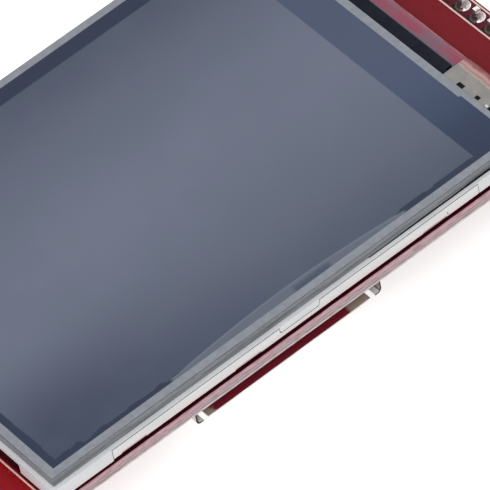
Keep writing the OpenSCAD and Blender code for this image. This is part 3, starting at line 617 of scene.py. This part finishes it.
class Shape:
    """A mesh in the model's millimetres, gathered from simple forms."""

    def __init__(self):
        self.mesh = bmesh.new()

    def prism(self, outline, z0, z1):
        """An outline of (x, y) points between two heights."""
        low = [self.mesh.verts.new((x, y, z0)) for x, y in outline]
        high = [self.mesh.verts.new((x, y, z1)) for x, y in outline]
        self.mesh.faces.new(list(reversed(low)))
        self.mesh.faces.new(high)
        for i in range(len(outline)):
            j = (i + 1) % len(outline)
            self.mesh.faces.new((low[i], low[j], high[j], high[i]))

    def bar(self, x0, x1, y0, y1, z0, z1):
        self.prism([(x0, y0), (x1, y0), (x1, y1), (x0, y1)], z0, z1)

    def line(self, start, end, width, z0, z1):
        """A printed line with round ends."""
        a, b = Vector(start), Vector(end)
        heading = math.atan2(b.y - a.y, b.x - a.x)
        outline = []
        for centre, turn in ((b, -0.5), (a, 0.5)):
            for k in range(7):
                outline.append(on_circle(centre, width / 2, heading + math.pi * (turn + k / 6)))
        self.prism(outline, z0, z1)

    def frame(self, x0, x1, y0, y1, width, z0, z1):
        """A printed rectangle, drawn round its middle line."""
        self.line((x0, y0), (x1, y0), width, z0, z1)
        self.line((x0, y1), (x1, y1), width, z0, z1)
        self.line((x0, y0), (x0, y1), width, z0, z1)
        self.line((x1, y0), (x1, y1), width, z0, z1)

    def turned(self, centre, profile, steps=32):
        """A closed profile of (radius, height) points turned round a vertical axis."""
        rings = []
        for k in range(steps):
            angle = 2 * math.pi * k / steps
            rings.append([self.mesh.verts.new((*on_circle(centre, r, angle), z)) for r, z in profile])
        for k in range(steps):
            here, there = rings[k], rings[(k + 1) % steps]
            for i in range(len(profile)):
                j = (i + 1) % len(profile)
                self.mesh.faces.new((here[i], there[i], there[j], here[j]))

    def piece(self, name, finish, slot, smooth=False):
        """Turns the mesh into a named piece that rides with the model."""
        bmesh.ops.recalc_face_normals(self.mesh, faces=self.mesh.faces)
        data = bpy.data.meshes.new(name)
        self.mesh.to_mesh(data)
        self.mesh.free()
        data.transform(Matrix.Scale(MM, 4))
        data.materials.append(finish.material)
        if smooth:
            data.shade_smooth()
        made = bpy.data.objects.new(name, data)
        bpy.context.scene.collection.objects.link(made)
        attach(made, "root")
        return made


INK_T = 0.03
TRACK_T = 0.02
PAD_T = 0.04
FRONT_INK_W = 0.2
BACK_INK_W = 0.2
FINE_INK_W = 0.18
HOLE_BOX = 1.27


def make_silkscreen(ink):
    """White print on both faces: outlines only, with no lettering."""
    half_w = BOARD_HIGH.y - 0.35
    header_x0, header_x1 = PIN_X - 1.24, PIN_X + 1.2
    header_y0, header_y1 = PIN_Y[0] - 1.5, PIN_Y[-1] + 1.5
    front = Shape()
    near_x = FRAME_LOW.x - 0.19
    front.line((near_x, -half_w), (near_x, half_w), FRONT_INK_W, FRONT, FRONT + INK_T)
    front.frame(header_x0, header_x1, header_y0, header_y1, FRONT_INK_W, FRONT, FRONT + INK_T)
    spare_x0, spare_x1 = SPARE[0].x - HOLE_BOX, SPARE[0].x + HOLE_BOX
    spare_y0, spare_y1 = SPARE[0].y - HOLE_BOX, SPARE[-1].y + HOLE_BOX
    front.frame(spare_x0, min(spare_x1, near_x - 0.6), spare_y0, spare_y1, FRONT_INK_W, FRONT, FRONT + INK_T)
    front.piece("silkscreen_front", ink, "ink_white")
    back = Shape()
    z0, z1 = BACK - INK_T, BACK
    last_y = PIN_Y[-1] - HOLE_BOX
    back.frame(header_x0 - 0.1, header_x1, header_y0, header_y1, BACK_INK_W, z0, z1)
    back.line((header_x0 - 0.1, last_y), (header_x1, last_y), BACK_INK_W, z0, z1)
    back.frame(spare_x0, spare_x1, spare_y0, spare_y1, BACK_INK_W, z0, z1)
    for node, margin in (("resistor_ends", 0.25), ("capacitor_ends", 0.25)):
        ends = islands(node)
        for low, high in chip_boxes(ends):
            x0, x1, y0, y1 = low.x - margin, high.x + margin, low.y - margin, high.y + margin
            for y in (y0, y1):
                back.line((x0, y), (x1, y), 0.15, z0, z1)
            for x in (x0, x1):
                back.line((x, y0), (x, y1), 0.15, z0, z1)
    low, high = box_mm("controller_body")
    back.frame(low.x - 0.25, high.x + 0.25, low.y + 0.3, high.y - 0.3, FINE_INK_W, z0, z1)
    back.turned(Vector((low.x - 0.7, low.y - 0.6, 0)), [(0, z0), (0.25, z0), (0.25, z1), (0, z1)], 16)
    for name in ("regulator_body", "transistor_body"):
        low, high = box_mm(name)
        for x in (low.x - 0.25, high.x + 0.25):
            back.line((x, low.y), (x, high.y), FINE_INK_W, z0, z1)
    for x in (SOCKET_LOW.x - 0.5, SOCKET_HIGH.x + 0.5):
        back.line((x, SOCKET_LOW.y + 0.3), (x, SOCKET_HIGH.y + 4.2), BACK_INK_W, z0, z1)
    back.piece("silkscreen_back", ink, "ink_white")


def chip_boxes(ends):
    """Joins the two ends of each chip part, sorted by place, into one box."""
    made = []
    left = list(ends)
    while left:
        low, high = left.pop(0)
        reach = [b for b in left if abs(b[0].y - low.y) < 0.01 and 0 < b[0].x - low.x < 1.8]
        partner = min(reach, key=lambda b: b[0].x - low.x)
        left.remove(partner)
        made.append((low, partner[1]))
    return made


def make_pads(tin):
    """Plated rings at every hole, barrels in the corner and spare holes, and pads under every lead and chip
    end.
    """
    rings = Shape()
    for face, out in ((FRONT, 1), (BACK, -1)):
        top = face + out * PAD_T
        for y in PIN_Y:
            if face == BACK:
                rings.turned(Vector((PIN_X, y, 0)), [(0.5, face), (0.5, top), (0.92, top), (0.95, face)])
        for centre in CORNERS:
            rings.turned(centre, [(HOLE_R, face), (HOLE_R, top), (2.6, top), (2.63, face)], 48)
        for centre in SPARE:
            rings.turned(centre, [(SPARE_R, face), (SPARE_R, top), (0.9, top), (0.93, face)])
    wall = 0.03
    for centres, radius in ((CORNERS, HOLE_R), (SPARE, SPARE_R)):
        for centre in centres:
            rings.turned(centre, [(radius - wall, BACK - PAD_T), (radius, BACK - PAD_T),
                                  (radius, FRONT + PAD_T), (radius - wall, FRONT + PAD_T)], 48)
    rings.piece("plated_rings", tin, "solder", True)
    pads = Shape()
    for node, grow in (("resistor_ends", 0.15), ("capacitor_ends", 0.15), ("controller_leads", 0.08),
                       ("package_leads", 0.15), ("socket_contacts", 0.1)):
        for low, high in islands(node):
            y0, y1 = low.y, high.y
            if node == "socket_contacts":
                y0 = high.y - 1.2
            if node == "controller_leads" or node == "package_leads":
                middle = (box_mm("controller_body")[0].y + box_mm("controller_body")[1].y) / 2
                if node == "package_leads":
                    middle = (box_mm("regulator_body")[0].y + box_mm("regulator_body")[1].y) / 2
                if low.y > middle:
                    y0 = high.y - 0.5
                else:
                    y1 = low.y + 0.5
            pads.bar(low.x - grow, high.x + grow, y0 - grow, y1 + grow, BACK - PAD_T, BACK)
    pads.piece("solder_pads", tin, "solder")


VIAS = ((-20, 12), (-12, 15), (4, 14), (12, 18), (18, 14), (-28, -6), (-30, 6), (20, -18), (14, -20))


def make_tracks(copper, tin):
    """Tracks that show under the lacquer of the back face, and the vias at their ends."""
    z0, z1 = BACK - TRACK_T, BACK
    tracks, vias = Shape(), Shape()

    def track(points, width=0.25):
        for start, end in zip(points, points[1:]):
            tracks.line(start, end, width, z0, z1)

    def via(x, y):
        vias.turned(Vector((x, y, 0)), [(0.14, z0), (0.14, z1), (0.32, z1), (0.3, z0 - 0.01)], 16)

    contacts = [(low.x + high.x) / 2 for low, high in islands("socket_contacts")]
    foot_y = box_mm("socket_contacts")[1].y
    edge = SPARE[0].x + 2.2
    for lane, (hole, x) in enumerate(zip(reversed(SPARE), contacts[1::2])):
        level = foot_y + 3.6 + 0.8 * lane
        bend = level - hole.y
        track([(hole.x, hole.y), (edge + 0.8 * (3 - lane), hole.y),
               (edge + 0.8 * (3 - lane) + bend, level), (x - level + foot_y + 1.4, level), (x, foot_y + 1.4),
               (x, foot_y)])
    leads = sorted((low.x + high.x) / 2 for low, high in islands("controller_leads"))[::2]
    top = box_mm("controller_leads")[1].y
    for lane, (y, x) in enumerate(zip(reversed(PIN_Y[-6:]), leads)):
        level = top + 3.4 - 0.5 * lane
        drop = y - level
        track([(PIN_X, y), (PIN_X - 1.7, y), (PIN_X - 1.7 - abs(drop), level), (x + 0.4, level),
               (x, level - 0.4), (x, top)])
    for lane, y in enumerate(PIN_Y[:7]):
        end = 16 + 1.3 * lane
        out = PIN_X - 2 - 0.5 * lane
        step = 0.5 * (lane - 3)
        track([(PIN_X, y), (out, y), (out - abs(step), y + step), (end, y + step)])
        via(end, y + step)
    for x, y in VIAS:
        via(x, y)
        track([(x, y), (x + 1.5, y + 1.5), (x + 5, y + 1.5)])
        via(x + 5, y + 1.5)
    tracks.piece("back_tracks", copper, "board_red")
    vias.piece("back_vias", tin, "solder", True)


# middle, length and width of each mark on the tail
TAIL_MARKS = ((31.65, -13.7, 0.55, 1.0), (31.72, -16.45, 0.5, 0.65), (31.6, -18.75, 0.5, 0.65))
MARK_T = 0.01


def make_tail_marks():
    """Dark alignment marks on the touch tail, and one bright scratch."""
    dark = mottled("tail_ink", srgb(16, 16, 22), srgb(32, 32, 38), 0.4, 0.5, grain=(0.1, 0.004),
                   Specular_IOR_Level=0.05)
    pale = mottled("tail_scratch", srgb(214, 212, 208), srgb(234, 232, 228), 0.3, 0.4, grain=(0.1, 0.004))
    marks = Shape()
    for x, y, length, width in TAIL_MARKS:
        marks.bar(x - length / 2, x + length / 2, y - width / 2, y + width / 2,
                  TAIL_TOP, TAIL_TOP + MARK_T)
    marks.piece("tail_marks", dark, "tape_black")
    scratch = Shape()
    scratch.line((31.6, -18.2), (31.65, -18.0), 0.28, TAIL_TOP, TAIL_TOP + MARK_T)
    scratch.piece("tail_scratch", pale, "tail_grey")


def make_dark_bead(finish):
    """A dark bead along both long sides under the touch glass, thicker towards the flex end."""
    bead = Shape()
    start, end = 9.0, FILM_HIGH.x - 0.1
    level = FRAME_HIGH.z
    steps = 16
    for k in range(steps):
        a, b = (start + (end - start) * (k + d) / steps for d in (0, 1))
        t = k / (steps - 1)
        height = 0.1 + 0.3 * t + 0.03 * math.sin(5.3 * k)
        for side in (-1, 1):
            y = FILM_HIGH.y * side
            bead.bar(a, b, *sorted((y + side * 0.002, y + side * 0.05)), level, level + height)
    bead.piece("dark_bead", finish, "tape_black")


# --- studio ---------------------------------------------------------------------------------

def white_to_the_eye(tree):
    """1 for the rays that look at the background straight, in gloss or through glass."""
    path = tree.nodes.new("ShaderNodeLightPath")
    total = None
    for kind in ("Is Camera Ray", "Is Glossy Ray", "Is Transmission Ray"):
        if total is None:
            total = path.outputs[kind]
            continue
        node = tree.nodes.new("ShaderNodeMath")
        node.operation = "MAXIMUM"
        tree.links.new(total, node.inputs[0])
        tree.links.new(path.outputs[kind], node.inputs[1])
        total = node.outputs[0]
    return total


def make_world(level):
    """An even sky of the given level, white where it is looked at."""
    world = bpy.data.worlds.new("studio")
    bpy.context.scene.world = world
    world.use_nodes = True
    tree = world.node_tree
    strength = tree.nodes.new("ShaderNodeMapRange")
    strength.inputs["To Min"].default_value = level
    strength.inputs["To Max"].default_value = 1.0
    tree.links.new(white_to_the_eye(tree), strength.inputs["Value"])
    background = tree.nodes["Background"]
    background.inputs["Color"].default_value = (1, 1, 1, 1)
    tree.links.new(strength.outputs[0], background.inputs["Strength"])


def make_floor(height, reach=1.6, glow_level=0.62):
    """A plain pale floor that keeps the object's shadow."""
    mesh = bpy.data.meshes.new("floor")
    mesh.from_pydata([(-reach, -reach, height), (reach, -reach, height), (reach, reach, height),
                      (-reach, reach, height)], [], [(0, 1, 2, 3)])
    floor = bpy.data.objects.new("floor", mesh)
    bpy.context.scene.collection.objects.link(floor)
    material = bpy.data.materials.new("floor")
    material.use_nodes = True
    tree = material.node_tree
    shader = tree.nodes["Principled BSDF"]
    shader.inputs["Base Color"].default_value = (0.86, 0.86, 0.86, 1)
    shader.inputs["Roughness"].default_value = 0.9
    shader.inputs["Specular IOR Level"].default_value = 0.0
    shader.inputs["Emission Color"].default_value = (1, 1, 1, 1)
    glow = tree.nodes.new("ShaderNodeMath")
    glow.operation = "MULTIPLY"
    tree.links.new(white_to_the_eye(tree), glow.inputs[0])
    glow.inputs[1].default_value = glow_level
    tree.links.new(glow.outputs[0], shader.inputs["Emission Strength"])
    mesh.materials.append(material)


def make_lamp(name, place, size, energy):
    """A soft square lamp that faces the model."""
    data = bpy.data.lights.new(name, "AREA")
    data.size = size
    data.energy = energy
    lamp = bpy.data.objects.new(name, data)
    lamp.location = place
    lamp.rotation_mode = "QUATERNION"
    lamp.rotation_quaternion = (-Vector(place)).to_track_quat("-Z", "Y")
    bpy.context.scene.collection.objects.link(lamp)


def make_camera():
    """A long lens, above the near side and turned to the header's left, rolled a little."""
    azimuth, elevation, roll = (math.radians(a) for a in (30.69, 48.15, -12.0))
    target = Vector((0.18, -14.28, FILM_HIGH.z)) * MM
    distance = 839.5 * MM
    forward = Vector((math.sin(azimuth) * math.cos(elevation), math.cos(azimuth) * math.cos(elevation),
                      -math.sin(elevation)))
    right = Vector((math.cos(azimuth), -math.sin(azimuth), 0))
    up = right.cross(forward)
    turned = right * math.cos(roll) + up * math.sin(roll)
    up = turned.cross(forward)
    data = bpy.data.cameras.new("camera")
    data.lens, data.sensor_width = 570.3, 36
    data.clip_start, data.clip_end = 0.01, 10
    camera = bpy.data.objects.new("camera", data)
    camera.rotation_mode = "QUATERNION"
    camera.rotation_quaternion = Matrix((turned, up, -forward)).transposed().to_quaternion()
    camera.location = target - forward * distance
    bpy.context.scene.collection.objects.link(camera)
    bpy.context.scene.camera = camera


finishes = make_finishes()
ink = mottled("white_ink", srgb(226, 190, 178), srgb(240, 214, 204), 0.3, 0.6, grain=(0.1, 0.008))
make_silkscreen(ink)
make_pads(solder_finish("pad_tin"))
make_tracks(mottled("covered_copper", srgb(152, 34, 40), srgb(166, 44, 48), 2.0, 0.35,
                    grain=(0.4, 0.004), Specular_IOR_Level=0.1), solder_finish("via_tin"))
make_tail_marks()
make_dark_bead(finishes["bonding_tape"])
make_camera()
make_world(0.6)
make_floor(CAD_BOX[0].z)
make_lamp("key", (-0.5, -0.55, 0.9), 0.8, 5.0)
make_lamp("fill", (0.8, 0.4, 0.9), 0.8, 2.0)
bpy.context.scene.view_settings.view_transform = "Standard"
